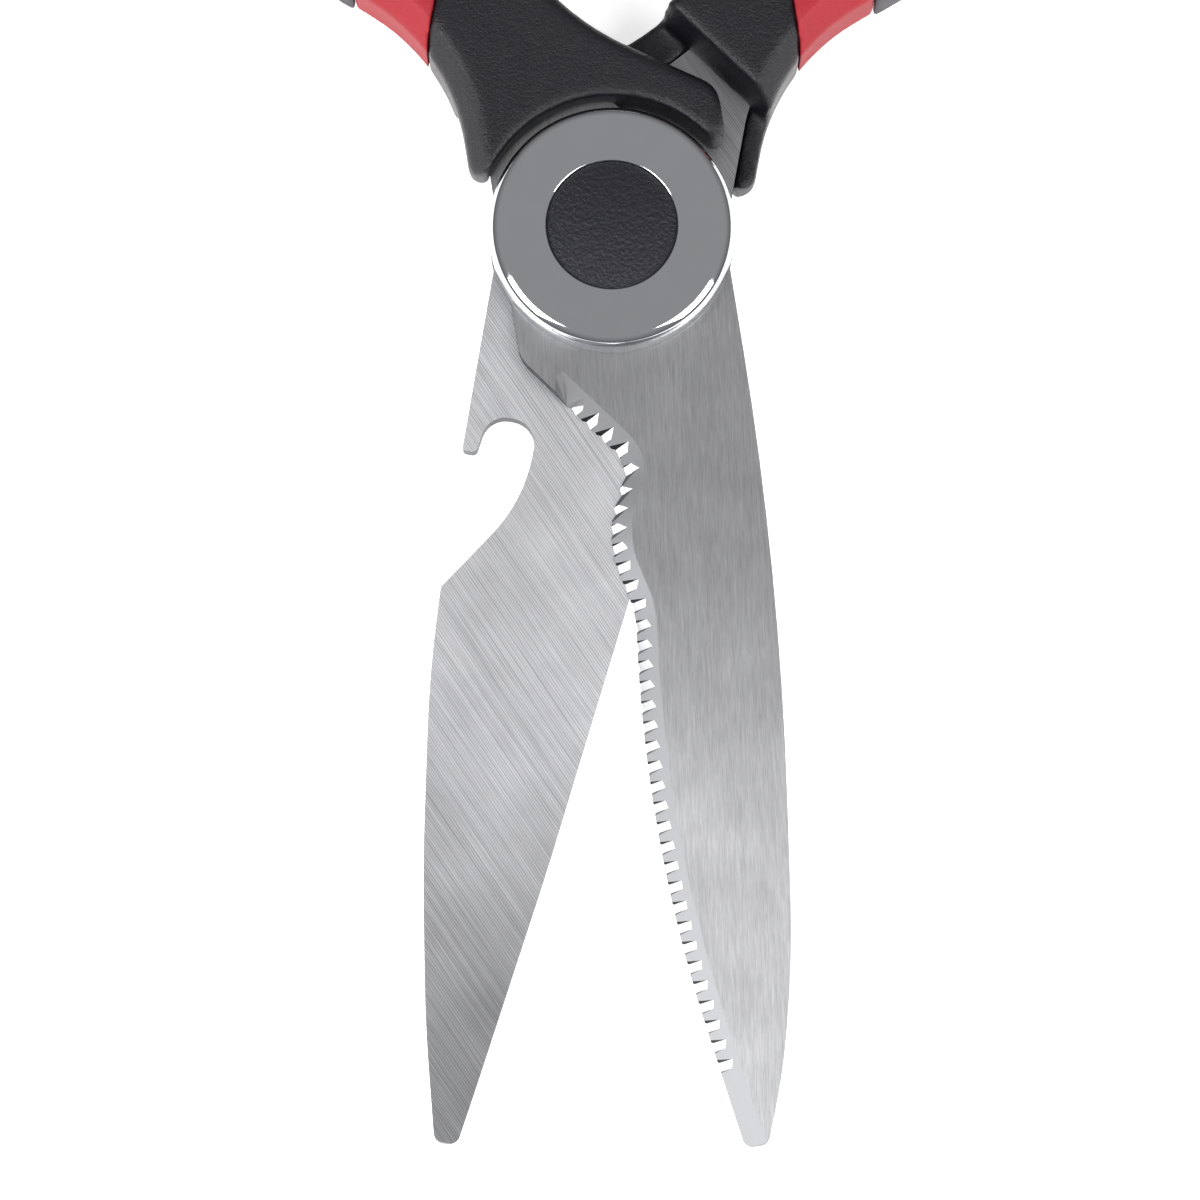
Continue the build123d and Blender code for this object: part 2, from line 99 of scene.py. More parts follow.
# %% [markdown]
# ## Light
# Steel and chrome show what surrounds them, so most of the look is decided here. The table is
# nearly white. Straight above, where the flat faces look, the studio is a middle grey, and it gets
# darker towards the horizon, which draws the thin dark line round the ring's shoulder. Two soft
# boxes stand at the front left and front right, where the ring has its two bright crescents. A
# picture of a studio could light the scene too, but a gradient and a few area lights need no file
# and are easy to tune.

# %% Studio surroundings
studio_tones = {0.0: (0.16, 0.16, 0.17), 0.35: (0.28, 0.28, 0.29), 0.8: (0.43, 0.43, 0.44)}
world = bpy.data.worlds.new("studio")
bpy.context.scene.world = world
world.use_nodes = True
sky = world.node_tree
sky_coordinates = sky.nodes.new("ShaderNodeTexCoord")
sky_split = sky.nodes.new("ShaderNodeSeparateXYZ")
sky_ramp = sky.nodes.new("ShaderNodeValToRGB")
sky_ramp.color_ramp.elements.new(0.5)
for stop, (height, tone) in zip(sky_ramp.color_ramp.elements, studio_tones.items()):
    stop.position = height
    stop.color = (*tone, 1)
sky.links.new(sky_coordinates.outputs["Generated"], sky_split.inputs[0])
sky.links.new(sky_split.outputs["Z"], sky_ramp.inputs["Fac"])
sky.links.new(sky_ramp.outputs["Color"], sky.nodes["Background"].inputs["Color"])
bpy.context.scene.view_settings.view_transform = "Standard"


# %% Soft boxes
def soft_box(name, place, target, size, power, colour):
    """A rectangular area light that looks at a target."""
    light = bpy.data.lights.new(name, "AREA")
    light.shape = "RECTANGLE"
    light.size, light.size_y = size
    light.energy = power
    light.color = colour
    lamp = bpy.data.objects.new(name, light)
    bpy.context.scene.collection.objects.link(lamp)
    lamp.location = place
    lamp.rotation_euler = (Vector(target) - Vector(place)).to_track_quat("-Z", "Y").to_euler()
    return lamp


light_target = (0.0, -0.03, 0.0)
soft_boxes = [
    soft_box("left box", (-0.65, -0.38, 0.70), light_target, (0.48, 0.75), 13.0, (0.97, 0.98, 1.0)),
    soft_box("right box", (0.65, -0.40, 0.70), light_target, (0.48, 0.75), 10.0, (1.0, 1.0, 1.0)),
]
print("soft boxes:", [box.name for box in soft_boxes])

# %% [markdown]
# ## Shader tools
# Brush lines, moulded grain and handling marks turn up in several finishes. Each is a node group
# with named sockets, built once and placed in every finish with its own values.

# %% Helpers for node trees
def node(tree, kind, **settings):
    """A new node with its properties, and its inputs by name or number, set."""
    made = tree.nodes.new(kind)
    inputs = settings.pop("inputs", {})
    for key, value in settings.items():
        setattr(made, key, value)
    for key, value in inputs.items():
        if hasattr(value, "is_output"):
            tree.links.new(value, made.inputs[key])
        else:
            made.inputs[key].default_value = value
    return made


def math_node(tree, operation, first, second=0.0):
    return node(tree, "ShaderNodeMath", operation=operation, inputs={0: first, 1: second}).outputs[0]


def new_group(name, kind, inputs, outputs):
    """An empty node group with named sockets, and its two end nodes."""
    tree = bpy.data.node_groups.new(name, kind)
    for label, socket, value in inputs:
        made = tree.interface.new_socket(label, in_out="INPUT", socket_type="NodeSocket" + socket)
        if value is not None:
            made.default_value = value
    for label, socket in outputs:
        tree.interface.new_socket(label, in_out="OUTPUT", socket_type="NodeSocket" + socket)
    start = tree.nodes.new("NodeGroupInput").outputs
    end = tree.nodes.new("NodeGroupOutput").inputs
    return tree, start, end


# %% [markdown]
# ### Brush lines
# A belt leaves fine scratches that are long in one direction. Noise that is stretched along Y
# gives them: one fine layer, and one coarser that groups the scratches into faint bands. A wave
# can be added for the even lines that a coarse grinding wheel leaves. A photographed scratch
# texture would do it too, but these lines can be turned, widened and placed on any surface.

# %% Brush lines group
brush, brush_in, brush_out = new_group(
    "Brush lines",
    "ShaderNodeTree",
    [("Vector", "Vector", None), ("Line Width", "Float", 0.1 * mm), ("Line Length", "Float", 6 * mm),
     ("Contrast", "Float", 0.2), ("Evenness", "Float", 0.0)],
    [("Tone", "Float"), ("Height", "Float")],
)
stretch = node(brush, "ShaderNodeCombineXYZ", inputs={
    0: brush_in["Line Width"], 1: brush_in["Line Length"], 2: brush_in["Line Width"]}).outputs[0]
lines = node(brush, "ShaderNodeVectorMath", operation="DIVIDE",
             inputs={0: brush_in["Vector"], 1: stretch}).outputs[0]
fine = node(brush, "ShaderNodeTexNoise", inputs={
    "Vector": lines, "Scale": 1.0, "Detail": 3.0, "Roughness": 0.65}).outputs[0]
bands = node(brush, "ShaderNodeTexNoise", inputs={
    "Vector": lines, "Scale": 0.21, "Detail": 3.0, "Roughness": 0.6}).outputs[0]
belt = node(brush, "ShaderNodeTexWave", inputs={
    "Vector": lines, "Scale": 0.143, "Distortion": 7.0, "Detail": 2.0, "Detail Scale": 0.25}).outputs[1]
even = math_node(brush, "MULTIPLY", math_node(brush, "SUBTRACT", belt, 0.5), brush_in["Evenness"])
fine_weight = 0.75
tone_gain = 5.0
uneven = math_node(brush, "ADD", math_node(brush, "MULTIPLY", fine, fine_weight),
                   math_node(brush, "MULTIPLY", bands, 1.0 - fine_weight))
both = math_node(brush, "ADD", uneven, even)
centred = math_node(brush, "MULTIPLY", math_node(brush, "SUBTRACT", both, 0.5), tone_gain)
tone = math_node(brush, "ADD", math_node(brush, "MULTIPLY", centred, brush_in["Contrast"]), 1.0)
brush.links.new(tone, brush_out["Tone"])
brush.links.new(both, brush_out["Height"])

# %% [markdown]
# ### Moulded grain
# A spark-eroded mould gives plastic a fine pebbled skin. Two sizes of noise make the height, and
# the same noise makes tiny changes of tone.

# %% Moulded grain group
grain, grain_in, grain_out = new_group(
    "Moulded grain",
    "ShaderNodeTree",
    [("Vector", "Vector", None), ("Grain Size", "Float", 0.25 * mm), ("Contrast", "Float", 0.2)],
    [("Tone", "Float"), ("Height", "Float")],
)
pebble_scale = math_node(grain, "DIVIDE", 1.0, grain_in["Grain Size"])
pebbles = node(grain, "ShaderNodeTexNoise", inputs={
    "Vector": grain_in["Vector"], "Scale": pebble_scale, "Detail": 3.0, "Roughness": 0.6}).outputs[0]
flow = node(grain, "ShaderNodeTexNoise", inputs={
    "Vector": grain_in["Vector"], "Scale": math_node(grain, "MULTIPLY", pebble_scale, 0.08),
    "Detail": 2.0}).outputs[0]
mixed = math_node(grain, "ADD", math_node(grain, "MULTIPLY", pebbles, 0.8),
                  math_node(grain, "MULTIPLY", flow, 0.2))
grain_tone = math_node(grain, "ADD", math_node(
    grain, "MULTIPLY", math_node(grain, "SUBTRACT", mixed, 0.5), grain_in["Contrast"]), 1.0)
grain.links.new(grain_tone, grain_out["Tone"])
grain.links.new(pebbles, grain_out["Height"])

# %% [markdown]
# ### Handling marks
# Nothing that is held stays evenly glossy. A slow noise moves the roughness up and down a little
# where fingers and cloths have been.

# %% Handling marks group
marks, marks_in, marks_out = new_group(
    "Handling marks",
    "ShaderNodeTree",
    [("Vector", "Vector", None), ("Patch Size", "Float", 12 * mm), ("Low", "Float", 0.3),
     ("High", "Float", 0.4)],
    [("Roughness", "Float")],
)
patches = node(marks, "ShaderNodeTexNoise", inputs={
    "Vector": marks_in["Vector"], "Scale": math_node(marks, "DIVIDE", 1.0, marks_in["Patch Size"]),
    "Detail": 4.0, "Roughness": 0.6}).outputs[0]
spread = node(marks, "ShaderNodeMapRange", inputs={
    "Value": patches, "From Min": 0.3, "From Max": 0.7,
    "To Min": marks_in["Low"], "To Max": marks_in["High"]}).outputs[0]
marks.links.new(spread, marks_out["Roughness"])

# %% [markdown]
# ### Arc coordinates
# A lathe leaves its marks in circles. This group turns a place into its distance from a centre and
# its length along the circle, and the brush lines then run round the piece.

# %% Arc coordinates group
arcs, arcs_in, arcs_out = new_group(
    "Arc coordinates",
    "ShaderNodeTree",
    [("Vector", "Vector", None), ("Centre", "Vector", None), ("Radius", "Float", 0.5)],
    [("Vector", "Vector")],
)
away = node(arcs, "ShaderNodeVectorMath", operation="SUBTRACT",
            inputs={0: arcs_in["Vector"], 1: arcs_in["Centre"]}).outputs[0]
parts = node(arcs, "ShaderNodeSeparateXYZ", inputs={0: away}).outputs
flat = node(arcs, "ShaderNodeCombineXYZ", inputs={0: parts["X"], 1: parts["Y"]}).outputs[0]
distance = node(arcs, "ShaderNodeVectorMath", operation="LENGTH", inputs={0: flat}).outputs["Value"]
bearing = math_node(arcs, "ARCTAN2", math_node(arcs, "MULTIPLY", parts["Y"], -1.0), math_node(
    arcs, "MULTIPLY", parts["X"], -1.0))
along = math_node(arcs, "MULTIPLY", bearing, arcs_in["Radius"])
arc_vector = node(arcs, "ShaderNodeCombineXYZ", inputs={0: distance, 1: along, 2: parts["Z"]}).outputs[0]
arcs.links.new(arc_vector, arcs_out["Vector"])
print("shader groups:", [group.name for group in bpy.data.node_groups])


# %% Helpers for finishes
def new_finish(name, **constants):
    """A material with its shader, whose plain values are set on the shader's own sockets."""
    material = bpy.data.materials.new(name)
    material.use_nodes = True
    tree = material.node_tree
    shader = tree.nodes["Principled BSDF"]
    for socket, value in constants.items():
        shader.inputs[socket.replace("_", " ")].default_value = value
    place = tree.nodes.new("ShaderNodeTexCoord").outputs["Object"]
    return material, tree, shader, place


def place_group(tree, group, **inputs):
    made = node(tree, "ShaderNodeGroup", node_tree=group)
    for key, value in inputs.items():
        socket = made.inputs[key.replace("_", " ")]
        if hasattr(value, "is_output"):
            tree.links.new(value, socket)
        else:
            socket.default_value = value
    return made.outputs


def tinted(tree, colour, tone):
    """A colour made lighter and darker by a tone."""
    return node(tree, "ShaderNodeVectorMath", operation="SCALE", inputs={0: colour, "Scale": tone}).outputs[0]


def mixed_value(tree, share, first, second):
    made = node(tree, "ShaderNodeMix", data_type="FLOAT", inputs={0: share, 2: first, 3: second})
    return made.outputs[0]


def mixed_vector(tree, share, first, second):
    made = node(tree, "ShaderNodeMix", data_type="VECTOR", inputs={0: share, 4: first, 5: second})
    return made.outputs[1]


def bump(tree, shader, height, strength, depth):
    made = node(tree, "ShaderNodeBump", inputs={"Strength": strength, "Distance": depth, "Height": height})
    tree.links.new(made.outputs[0], shader.inputs["Normal"])


# %% [markdown]
# ## Blade steel
# One sheet of steel shows several surfaces: the outer face brushed along the blade, the ground
# bevel, the bottoms and flanks of the serration, and the inner face with its slanted grinding. The
# finish reads how far each surface tips from flat and paints light and shade by it: the inner face
# painted lighter than the outer, the bevel painted darker, a painted highlight in the groove bottoms
# and painted shade on the flanks and walls. The real faces aren't truly flat: the outer one takes
# more light towards the tip and the hollow inner one less, and ramps along the blade paint that light
# and shade into the colour, with a painted shadow of the handles on the inner face above the pivot.
# Before the serration begins nothing is grooved, so all that leans there takes the bevel's painted tone.

# %% Blade finishes
# Painted light: the inner face is coloured lighter than the outer face of the same steel.
steel_inner_painted_light = (0.90, 0.90, 0.92)
steel_face = (0.80, 0.80, 0.81)
# Painted shade: the bevel is coloured darker than the faces.
steel_bevel_painted_shade = (0.56, 0.56, 0.57)
serration_start = -20.8 * mm
# Painted highlight: the groove bottoms are coloured near white.
steel_bottom_painted_highlight = (1.0, 1.0, 0.99)
# Painted shade on the serration flanks, deeper where they face the tip.
steel_flank_painted_shade = (0.16, 0.16, 0.17)
# Painted shade: the blade walls are coloured near black to draw dark edge lines.
steel_wall_painted_shade = (0.07, 0.07, 0.075)
steel_flank_deep_painted_shade = (0.03, 0.03, 0.035)
brush_lean = radians(3.0)
grind_lean = radians(34.5)
ramp_span = (30 * mm, -110 * mm)
# Painted light and shade along the blade: lighter towards the tip on the outer face and bevel, darker above
# the pivot and at the tip on the inner face.
outer_painted_light_ramp = {0.0: 0.45, 0.3: 0.52, 0.57: 0.55, 0.75: 1.10, 1.0: 1.05}
bevel_painted_light_ramp = {0.0: 0.34, 0.4: 0.50, 0.5: 0.68, 0.75: 0.92, 1.0: 0.84}
inner_painted_light_and_shade = {0.0: 0.30, 0.15: 0.40, 0.3: 1.0, 0.57: 0.95, 0.75: 0.72, 0.88: 0.42, 1.0: 0.34}


def between(tree, value, low, high):
    """1 where a value lies between two limits, with a short soft edge, and 0 elsewhere."""
    rise = node(tree, "ShaderNodeMapRange", inputs={
        "Value": value, "From Min": low - 0.01, "From Max": low + 0.01}).outputs[0]
    fall = node(tree, "ShaderNodeMapRange", inputs={
        "Value": value, "From Min": high + 0.01, "From Max": high - 0.01}).outputs[0]
    return math_node(tree, "MULTIPLY", rise, fall)


def painted_light_along_blade(tree, place, tones):
    """Painted light and shade that changes along the blade: a ramp from the tang to the tip."""
    span = node(tree, "ShaderNodeSeparateXYZ", inputs={0: place}).outputs["Y"]
    share = node(tree, "ShaderNodeMapRange", inputs={
        "Value": span, "From Min": ramp_span[0], "From Max": ramp_span[1]}).outputs[0]
    ramp = node(tree, "ShaderNodeValToRGB", inputs={"Fac": share})
    ramp.color_ramp.interpolation = "B_SPLINE"
    for _ in range(len(tones) - 2):
        ramp.color_ramp.elements.new(0.5)
    for stop, (position, tone) in zip(ramp.color_ramp.elements, tones.items()):
        stop.position = position
        stop.color = (tone, tone, tone, 1)
    return ramp.outputs["Color"]


def blade_finish(name, side):
    """Steel with lines along the outer face, slanted grinding on the inner face, and light and shade painted
    by how each surface tips, with a painted highlight in the groove bottoms.
    """
    material, tree, shader, place = new_finish(name, Metallic=1.0)
    normal = node(tree, "ShaderNodeNewGeometry").outputs["True Normal"]
    normal_parts = node(tree, "ShaderNodeSeparateXYZ", inputs={0: normal}).outputs
    steepness = math_node(tree, "ABSOLUTE", normal_parts["Z"])
    is_face = between(tree, steepness, 0.93, 2.0)
    is_bevel = between(tree, steepness, 0.70, 0.93)
    is_bottom = between(tree, steepness, 0.58, 0.70)
    is_flank = between(tree, steepness, 0.30, 0.58)
    is_lean = between(tree, steepness, 0.03, 0.30)
    turned_up = math_node(tree, "MULTIPLY", normal_parts["Z"], side)
    is_outer = math_node(tree, "GREATER_THAN", turned_up, 0.0)
    to_tip = math_node(tree, "LESS_THAN", normal_parts["Y"], 0.0)
    length_place = node(tree, "ShaderNodeMapping", inputs={
        "Vector": place, "Rotation": (0.0, 0.0, -side * brush_lean)}).outputs[0]
    grind_place = node(tree, "ShaderNodeMapping", inputs={
        "Vector": place, "Rotation": (0.0, 0.0, side * grind_lean)}).outputs[0]
    outer = place_group(tree, brush, Vector=length_place, Line_Width=0.11 * mm,
                        Line_Length=2.6 * mm, Contrast=0.22)
    inner = place_group(tree, brush, Vector=grind_place, Line_Width=0.13 * mm,
                        Line_Length=14 * mm, Contrast=0.30, Evenness=0.22)
    outer_painted_run = painted_light_along_blade(tree, place, outer_painted_light_ramp)
    bevel_painted_run = painted_light_along_blade(tree, place, bevel_painted_light_ramp)
    inner_painted_run = painted_light_along_blade(tree, place, inner_painted_light_and_shade)
    tone = mixed_value(tree, is_outer, inner["Tone"], outer["Tone"])
    run = mixed_vector(tree, is_outer, inner_painted_run, outer_painted_run)
    height = mixed_value(tree, is_outer, inner["Height"], outer["Height"])
    face = node(tree, "ShaderNodeVectorMath", operation="MULTIPLY", inputs={
        0: mixed_vector(tree, is_outer, steel_inner_painted_light, steel_face), 1: run}).outputs[0]
    bevel = node(tree, "ShaderNodeVectorMath", operation="MULTIPLY", inputs={
        0: steel_bevel_painted_shade, 1: bevel_painted_run}).outputs[0]
    # Painted shade on the flanks, deeper where they face the tip.
    flank_painted_shade = mixed_vector(tree, to_tip, steel_flank_painted_shade, steel_flank_deep_painted_shade)
    colour = mixed_vector(tree, is_face, steel_wall_painted_shade, tinted(tree, face, tone))
    past_start = math_node(tree, "LESS_THAN", node(
        tree, "ShaderNodeSeparateXYZ", inputs={0: place}).outputs["Y"], serration_start)
    # Painted light and shade by tilt: the bevel's darker tone, the groove bottoms' highlight, and shade on
    # the flanks and walls.
    shades = ((is_bevel, bevel), (is_bottom, mixed_vector(tree, past_start, bevel, steel_bottom_painted_highlight)),
              (is_flank, mixed_vector(tree, past_start, bevel, flank_painted_shade)),
              (is_lean, mixed_vector(tree, past_start, bevel, steel_wall_painted_shade)))
    for mask, shade in shades:
        colour = mixed_vector(tree, mask, colour, shade)
    tree.links.new(colour, shader.inputs["Base Color"])
    handled = place_group(tree, marks, Vector=place, Patch_Size=18 * mm, Low=0.30, High=0.38)["Roughness"]
    ground = mixed_value(tree, is_bevel, mixed_value(tree, past_start, 0.80, 0.42), 0.80)
    tree.links.new(mixed_value(tree, is_face, ground, handled), shader.inputs["Roughness"])
    bump(tree, shader, height, 0.25, 0.02 * mm)
    return material


front_steel = blade_finish("front blade steel", 1.0)
rear_steel = blade_finish("rear blade steel", -1.0)

# %% [markdown]
# ## Chrome plate
# Chrome is almost a mirror. What keeps it from looking computed is a faint haze of wiping marks
# in the gloss, and a slightly blue cast.

# %% Chrome finish
chrome, chrome_tree, chrome_shader, chrome_place = new_finish("chrome plate", Metallic=1.0)
chrome_colour = (0.56, 0.565, 0.58)
chrome_tone = place_group(chrome_tree, grain, Vector=chrome_place, Grain_Size=3 * mm, Contrast=0.05)["Tone"]
chrome_tree.links.new(tinted(chrome_tree, chrome_colour, chrome_tone), chrome_shader.inputs["Base Color"])
wiped = place_group(chrome_tree, marks, Vector=chrome_place, Patch_Size=5 * mm, Low=0.045, High=0.085)
chrome_tree.links.new(wiped["Roughness"], chrome_shader.inputs["Roughness"])
wiping = place_group(chrome_tree, brush, Vector=chrome_place, Line_Width=0.05 * mm,
                     Line_Length=4 * mm, Contrast=0.1)
bump(chrome_tree, chrome_shader, wiping["Height"], 0.02, 0.005 * mm)

# %% [markdown]
# ## Moulded plastics
# The hard black, the red and the charcoal are all moulded. They share one recipe with other
# colours, gloss and grain: the hard plastic is a little shinier, and the soft ones are duller, with
# a coarser and shallower grain.

# %% Plastic finishes
grain_depth = 0.12 * mm


def plastic_finish(name, colour, gloss, grain_size, relief):
    """Moulded plastic: pebbled height, faint tone changes and uneven gloss."""
    material, tree, shader, place = new_finish(name, Specular_IOR_Level=0.33)
    skin = place_group(tree, grain, Vector=place, Grain_Size=grain_size, Contrast=0.50)
    tree.links.new(tinted(tree, colour, skin["Tone"]), shader.inputs["Base Color"])
    handled = place_group(tree, marks, Vector=place, Patch_Size=14 * mm, Low=gloss - 0.04, High=gloss + 0.05)
    tree.links.new(handled["Roughness"], shader.inputs["Roughness"])
    bump(tree, shader, skin["Height"], relief, grain_depth)
    return material


black_plastic = plastic_finish("hard black plastic", (0.0060, 0.0055, 0.0080), 0.33, 0.26 * mm, 1.0)
red_plastic = plastic_finish("soft red plastic", (0.31, 0.014, 0.021), 0.60, 0.35 * mm, 0.6)
charcoal_plastic = plastic_finish("soft charcoal plastic", (0.012, 0.012, 0.019), 0.50, 0.35 * mm, 0.6)
insert_plastic = plastic_finish("grained black plastic", (0.009, 0.009, 0.012), 0.34, 0.16 * mm, 0.6)
nylon = plastic_finish("grey nylon", (0.32, 0.32, 0.33), 0.50, 0.40 * mm, 0.30)

# %% [markdown]
# ## Turned and pressed hardware
# The bolt, nut, washers and bush sit inside the pivot. They still get honest finishes: fine turning
# marks and the colour of zinc, spring steel or bronze.

# %% Hardware finishes
def hardware_finish(name, colour, gloss):
    material, tree, shader, place = new_finish(name, Metallic=1.0)
    turning = place_group(tree, arcs, Vector=place, Centre=(0.0, 0.0, 0.0), Radius=5 * mm)["Vector"]
    cuts = place_group(tree, brush, Vector=turning, Line_Width=0.06 * mm, Line_Length=8 * mm, Contrast=0.18)
    tree.links.new(tinted(tree, colour, cuts["Tone"]), shader.inputs["Base Color"])
    handled = place_group(tree, marks, Vector=place, Patch_Size=4 * mm, Low=gloss, High=gloss + 0.1)
    tree.links.new(handled["Roughness"], shader.inputs["Roughness"])
    bump(tree, shader, cuts["Height"], 0.2, 0.01 * mm)
    return material


zinc = hardware_finish("zinc plate", (0.60, 0.60, 0.58), 0.30)
spring_steel = hardware_finish("spring steel", (0.30, 0.31, 0.35), 0.28)
bronze = hardware_finish("bronze", (0.60, 0.42, 0.22), 0.32)
print("finishes:", [material.name for material in bpy.data.materials if material.use_nodes])

# %% [markdown]
# ## Blades from the frame, with fine edges
# A blade from the frame has the right shape but knife-sharp corners, and real ones catch a thin
# line of light. The node's loose triangles are merged in a copy, flat areas become single faces,
# and a Bevel modifier breaks the square corners. Where the ground edge meets a groove the angle is
# small, so the shading is kept crisp there by how far each face tips, not by angle alone. A wheel
# can't stop square, so the wall where the ground edge begins is laid back into a slope.

# %% Merged copies and blades
def merged_copy(node_name, finish):
    """A copy of a node with its triangles joined and its flat areas made single faces."""
    mesh = frame["nodes"][node_name].data.copy()
    work = bmesh.new()
    work.from_mesh(mesh)
    bmesh.ops.remove_doubles(work, verts=work.verts, dist=0.0005 * mm)
    bmesh.ops.dissolve_limit(work, angle_limit=radians(0.4), verts=work.verts, edges=work.edges)
    work.to_mesh(mesh)
    work.free()
    mesh.materials.clear()
    mesh.materials.append(finish)
    piece = bpy.data.objects.new(node_name + "_dressed", mesh)
    bpy.context.scene.collection.objects.link(piece)
    return piece


def keep_modifiers(piece):
    """Turn a piece's modifiers into its plain mesh."""
    result = piece.evaluated_get(bpy.context.evaluated_depsgraph_get())
    piece.data = bpy.data.meshes.new_from_object(result)
    piece.modifiers.clear()


def stand_for(piece, node_name):
    """The piece takes the place of a node, on the same body."""
    body = frame["nodes"][node_name]["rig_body"]
    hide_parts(node_name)
    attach(piece, body)
    print(piece.name, "rides", body, "with", len(piece.data.polygons), "faces")


def crisp_shading(piece, sharpest, tip_change):
    """Smooth shading, but sharp where faces meet at an angle or tip from flat differently."""
    work = bmesh.new()
    work.from_mesh(piece.data)
    for face in work.faces:
        face.smooth = True
    for edge in work.edges:
        if len(edge.link_faces) == 2:
            one, other = (face.normal for face in edge.link_faces)
            edge.smooth = one.angle(other, 0.0) < sharpest and abs(one.z - other.z) < tip_change
    work.to_mesh(piece.data)
    work.free()


def slope_run_out(blade, ahead, length):
    """Lay back the wall where the ground edge begins, as a grinding wheel leaves it."""
    work = bmesh.new()
    work.from_mesh(blade.data)
    top = max(vertex.co.z for vertex in work.verts)
    walls = [face for face in work.faces if face.normal.dot(ahead) > 0.98
             and run_out_span[0] < face.calc_center_median().y < run_out_span[1]]
    upper = {vertex for face in walls for vertex in face.verts if vertex.co.z > top - 0.01 * mm}
    for vertex in upper:
        vertex.co -= ahead * length
    work.to_mesh(blade.data)
    work.free()
    print("run-out corners laid back:", len(upper))


corner_break = 0.05 * mm
edge_ahead = Vector((0.724, -0.690, 0.0))
run_out_span = (-30 * mm, -10 * mm)
run_out_length = 2.9 * mm
for side, finish in (("front", front_steel), ("rear", rear_steel)):
    blade = merged_copy(side + "_blade", finish)
    if side == "front":
        slope_run_out(blade, edge_ahead, run_out_length)
    breaking = blade.modifiers.new("corner break", "BEVEL")
    breaking.width = corner_break
    breaking.segments = 1
    breaking.angle_limit = radians(60)
    keep_modifiers(blade)
    crisp_shading(blade, radians(20), 0.03)
    stand_for(blade, side + "_blade")

# %% [markdown]
# ## Moulded handles, bands and sleeves
# Nothing on a moulded handle is sharp: every corner has a small radius, also the inner ones, and
# the soft sleeves have large ones. Bevels can't round so many meeting corners, so each piece is
# built again from small even cells with a Remesh modifier and then relaxed with a Smooth modifier.
# Flat areas stay flat, and corners get a radius of about the cell size times the number of passes.

# %% Moulded pieces
def moulded(node_name, finish, cell, passes):
    """A node's shape with soft corners everywhere."""
    piece = merged_copy(node_name, finish)
    cells = piece.modifiers.new("even cells", "REMESH")
    cells.mode = "VOXEL"
    cells.voxel_size = cell
    relaxing = piece.modifiers.new("soft corners", "SMOOTH")
    relaxing.factor = 0.5
    relaxing.iterations = passes
    keep_modifiers(piece)
    piece.data.materials.clear()
    piece.data.materials.append(finish)
    piece.data.shade_smooth()
    stand_for(piece, node_name)


for side in ("front", "rear"):
    moulded(side + "_handle", black_plastic, 0.40 * mm, 20)
    moulded(side + "_band", red_plastic, 0.35 * mm, 14)
    moulded(side + "_grip", charcoal_plastic, 0.45 * mm, 14)

# %% [markdown]
# ## Turned plate: bezel and rear cap
# Both are round and follow a rule: a profile carried round an axis. Geometry Nodes do that. The
# profile is a few corners, each with its own rounding, kept as an attribute; Fillet Curve rounds
# them and Curve to Mesh carries the profile round a circle. A Screw modifier could turn it too, but
# the tree keeps the rounding and the number of steps as inputs that can be changed later.

# %% Lathe tree
weld_distance = 0.001 * mm
lathe, lathe_in, lathe_out = new_group(
    "Lathe",
    "GeometryNodeTree",
    [("Profile", "Geometry", None), ("Path Radius", "Float", 10 * mm), ("Turn Steps", "Int", 160),
     ("Round Steps", "Int", 8), ("Finish", "Material", None)],
    [("Geometry", "Geometry")],
)
profile_curve = node(lathe, "GeometryNodeMeshToCurve", inputs={"Mesh": lathe_in["Profile"]}).outputs[0]
rounding_amount = node(lathe, "GeometryNodeInputNamedAttribute", data_type="FLOAT", inputs={
    "Name": "rounding"})
rounded = node(lathe, "GeometryNodeFilletCurve", mode="POLY", inputs={
    "Curve": profile_curve, "Radius": rounding_amount.outputs["Attribute"], "Limit Radius": True,
    "Count": lathe_in["Round Steps"]}).outputs[0]
turn = node(lathe, "GeometryNodeCurvePrimitiveCircle", inputs={
    "Resolution": lathe_in["Turn Steps"], "Radius": lathe_in["Path Radius"]}).outputs[0]
turned = node(lathe, "GeometryNodeCurveToMesh", inputs={"Curve": turn, "Profile Curve": rounded}).outputs[0]
closed = node(lathe, "GeometryNodeMergeByDistance", inputs={
    "Geometry": turned, "Distance": weld_distance}).outputs[0]
real = node(lathe, "GeometryNodeRealizeInstances", inputs={"Geometry": closed}).outputs[0]
coated = node(lathe, "GeometryNodeSetMaterial", inputs={"Geometry": real, "Material": lathe_in["Finish"]})
lathe.links.new(coated.outputs[0], lathe_out["Geometry"])


def applied(piece, tree, values):
    """Run a Geometry Nodes tree on a piece and keep its result as a plain mesh."""
    modifier = piece.modifiers.new(tree.name, "NODES")
    modifier.node_group = tree
    for socket in tree.interface.items_tree:
        if socket.item_type == "SOCKET" and socket.in_out == "INPUT" and socket.name in values:
            modifier[socket.identifier] = values[socket.name]
    result = piece.evaluated_get(bpy.context.evaluated_depsgraph_get())
    piece.data = bpy.data.meshes.new_from_object(result)
    piece.modifiers.clear()
    work = bmesh.new()
    work.from_mesh(piece.data)
    bmesh.ops.recalc_face_normals(work, faces=work.faces)
    work.to_mesh(piece.data)
    work.free()
    piece.data.shade_smooth()
    return piece


# %% Bezel and cap
path_radius = 10 * mm
turn_steps = 160
round_steps = 8


